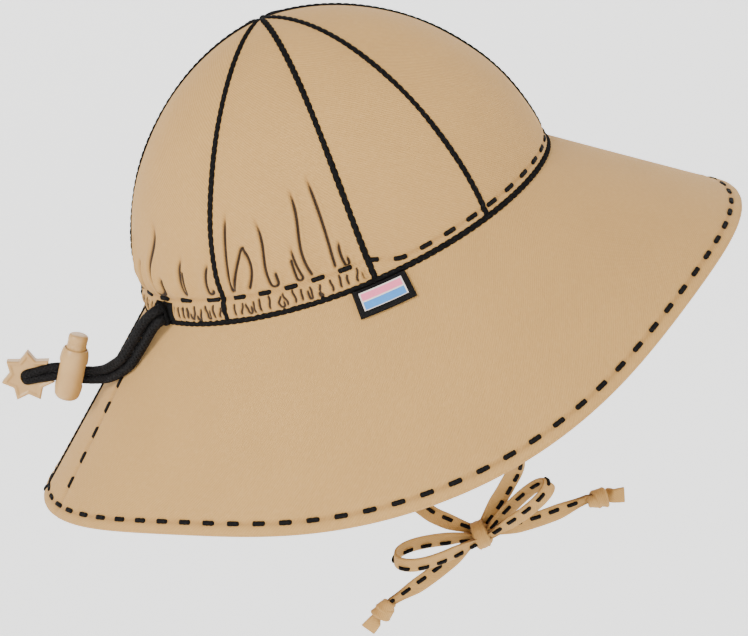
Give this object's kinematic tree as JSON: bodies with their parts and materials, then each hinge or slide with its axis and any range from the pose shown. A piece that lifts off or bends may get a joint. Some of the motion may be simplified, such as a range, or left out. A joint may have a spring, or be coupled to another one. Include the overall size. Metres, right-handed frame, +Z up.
{
  "type": "sun hat",
  "caption": "Child's cloth sun hat with a gathered panelled crown, a deep sloping brim, a back drawcord with a lock, and chin ties tied in a bow.",
  "frame": {"origin": "centre of the head opening, where the hat sits on a head, level with the seam between crown and brim at the front and back", "axes": "+Z up through the crown, +X to the front of the hat, +Y to the wearer's left"},
  "size_m": [0.316, 0.2328, 0.2689],
  "materials": {
    "twill": "matte cotton twill",
    "label_cloth": "woven satin",
    "elastic": "braided elastic cord",
    "tan_plastic": "moulded, satin"
  },
  "bodies": {
    "hat": {"crown_panel_front_left": "twill", "crown_panel_front_right": "twill", "crown_panel_front_side_left": "twill", "crown_panel_front_side_right": "twill", "crown_panel_back_side_left": "twill", "crown_panel_back_side_right": "twill", "crown_panel_back_left": "twill", "crown_panel_back_right": "twill", "brim": "twill", "chin_tie_right": "twill", "chin_tie_left": "twill", "bow_knot": "twill", "bow_loop_front": "twill", "bow_loop_back": "twill", "tie_tail_front": "twill", "tie_tail_back": "twill", "tail_knot_front": "twill", "tail_knot_back": "twill", "label": "label_cloth", "drawcord_upper": "elastic", "drawcord_lower": "elastic", "cord_lock_barrel": "tan_plastic", "star_end": "tan_plastic"},
    "lock_button": {"cord_lock_button": "tan_plastic"}
  },
  "joints": [
    {"name": "lock_press", "type": "slide", "parent": "hat", "child": "lock_button", "axis": [-0.5799, 0, -0.8147], "range_m": [0, 0.003], "stiffness_N_per_m": 300, "springref_m": -0.002}
  ]
}
